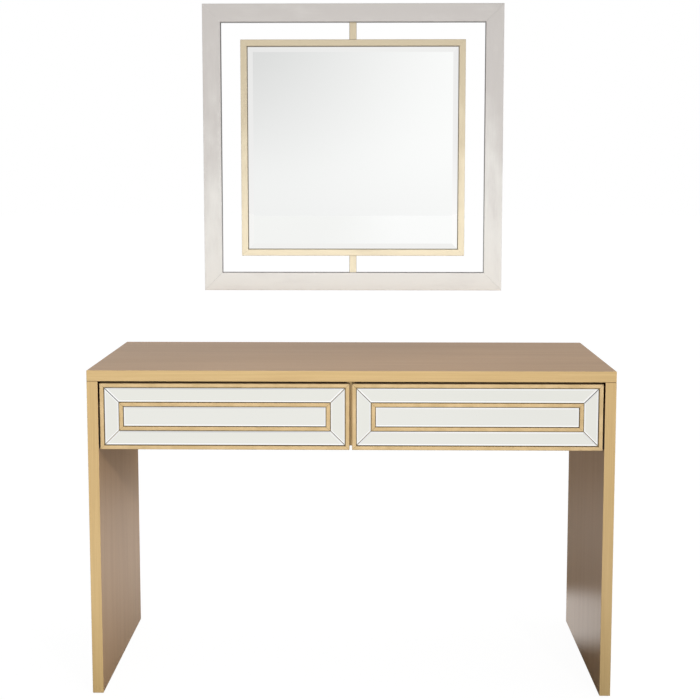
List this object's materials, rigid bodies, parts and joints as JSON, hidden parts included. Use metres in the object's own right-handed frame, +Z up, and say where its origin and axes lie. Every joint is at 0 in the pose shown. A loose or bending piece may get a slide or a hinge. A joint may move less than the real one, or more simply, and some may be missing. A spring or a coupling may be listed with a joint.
{
  "type": "vanity table with mirror",
  "caption": "Vanity table with slab legs and mirror-faced drawers, with a square wall mirror in an open double frame hung above it.",
  "frame": {"origin": "on the floor, at the centre of the table's footprint", "axes": "+X to the viewer's right, +Y towards the wall behind the table, +Z up; the drawers open towards -Y"},
  "size_m": [1.2, 0.45, 1.6385],
  "materials": {
    "gold_paint": "satin gold metallic paint on board, brushed on",
    "pale_gold": "pale champagne gold leaf paint on wood, satin",
    "silver_leaf": "silver leaf on wood, softly mottled",
    "mirror": "clear mirror glass with ground bevels",
    "drawer_wood": "lacquered birch plywood",
    "runner_steel": "zinc-plated sheet steel",
    "felt": "dark brown felt",
    "bumper_rubber": "clear soft rubber",
    "backing": "plain brown hardboard"
  },
  "bodies": {
    "table": {"table_top": "gold_paint", "left_leg_panel": "gold_paint", "right_leg_panel": "gold_paint", "left_foot_strip": "felt", "right_foot_strip": "felt", "back_panel": "gold_paint", "centre_divider": "gold_paint", "left_bay_left_runner_case_channel": "runner_steel", "left_bay_right_runner_case_channel": "runner_steel", "right_bay_left_runner_case_channel": "runner_steel", "right_bay_right_runner_case_channel": "runner_steel", "wall_hanging_rail": "runner_steel"},
    "left_drawer": {"left_drawer_front_board": "gold_paint", "left_drawer_front_rim": "gold_paint", "left_drawer_top_mirror_strip": "mirror", "left_drawer_right_mirror_strip": "mirror", "left_drawer_bottom_mirror_strip": "mirror", "left_drawer_left_mirror_strip": "mirror", "left_drawer_inner_bead": "gold_paint", "left_drawer_centre_mirror": "mirror", "left_drawer_left_side": "drawer_wood", "left_drawer_right_side": "drawer_wood", "left_drawer_bottom": "drawer_wood", "left_drawer_back": "drawer_wood", "left_bay_left_runner_drawer_channel": "runner_steel", "left_bay_right_runner_drawer_channel": "runner_steel"},
    "left_runner_middles": {"left_bay_left_runner_middle_channel": "runner_steel", "left_bay_right_runner_middle_channel": "runner_steel"},
    "right_drawer": {"right_drawer_front_board": "gold_paint", "right_drawer_front_rim": "gold_paint", "right_drawer_top_mirror_strip": "mirror", "right_drawer_right_mirror_strip": "mirror", "right_drawer_bottom_mirror_strip": "mirror", "right_drawer_left_mirror_strip": "mirror", "right_drawer_inner_bead": "gold_paint", "right_drawer_centre_mirror": "mirror", "right_drawer_left_side": "drawer_wood", "right_drawer_right_side": "drawer_wood", "right_drawer_bottom": "drawer_wood", "right_drawer_back": "drawer_wood", "right_bay_left_runner_drawer_channel": "runner_steel", "right_bay_right_runner_drawer_channel": "runner_steel"},
    "right_runner_middles": {"right_bay_left_runner_middle_channel": "runner_steel", "right_bay_right_runner_middle_channel": "runner_steel"},
    "mirror": {"outer_frame_top_rail": "silver_leaf", "outer_frame_right_rail": "silver_leaf", "outer_frame_bottom_rail": "silver_leaf", "outer_frame_left_rail": "silver_leaf", "inner_frame_top_rail": "pale_gold", "inner_frame_right_rail": "pale_gold", "inner_frame_bottom_rail": "pale_gold", "inner_frame_left_rail": "pale_gold", "top_strut": "pale_gold", "bottom_strut": "pale_gold", "mirror_glass": "mirror", "backing_board": "backing", "mirror_hanging_rail": "runner_steel", "left_wall_bumper": "bumper_rubber", "right_wall_bumper": "bumper_rubber"}
  },
  "joints": [
    {"name": "left_drawer_slide", "type": "slide", "parent": "table", "child": "left_drawer", "axis": [0, -1, 0], "range_m": [0, 0.34]},
    {"name": "right_drawer_slide", "type": "slide", "parent": "table", "child": "right_drawer", "axis": [0, -1, 0], "range_m": [0, 0.34]},
    {"name": "left_runner_middles_slide", "type": "slide", "parent": "table", "child": "left_runner_middles", "axis": [0, -1, 0], "range_m": [0, 0.17]},
    {"name": "right_runner_middles_slide", "type": "slide", "parent": "table", "child": "right_runner_middles", "axis": [0, -1, 0], "range_m": [0, 0.17]},
    {"name": "mirror_lift", "type": "slide", "parent": "table", "child": "mirror", "axis": [0, 0, 1], "range_m": [0, 0.024]}
  ],
  "couplings": [
    {"joint": "left_runner_middles_slide", "follows": "left_drawer_slide", "ratio": 0.5},
    {"joint": "right_runner_middles_slide", "follows": "right_drawer_slide", "ratio": 0.5}
  ]
}
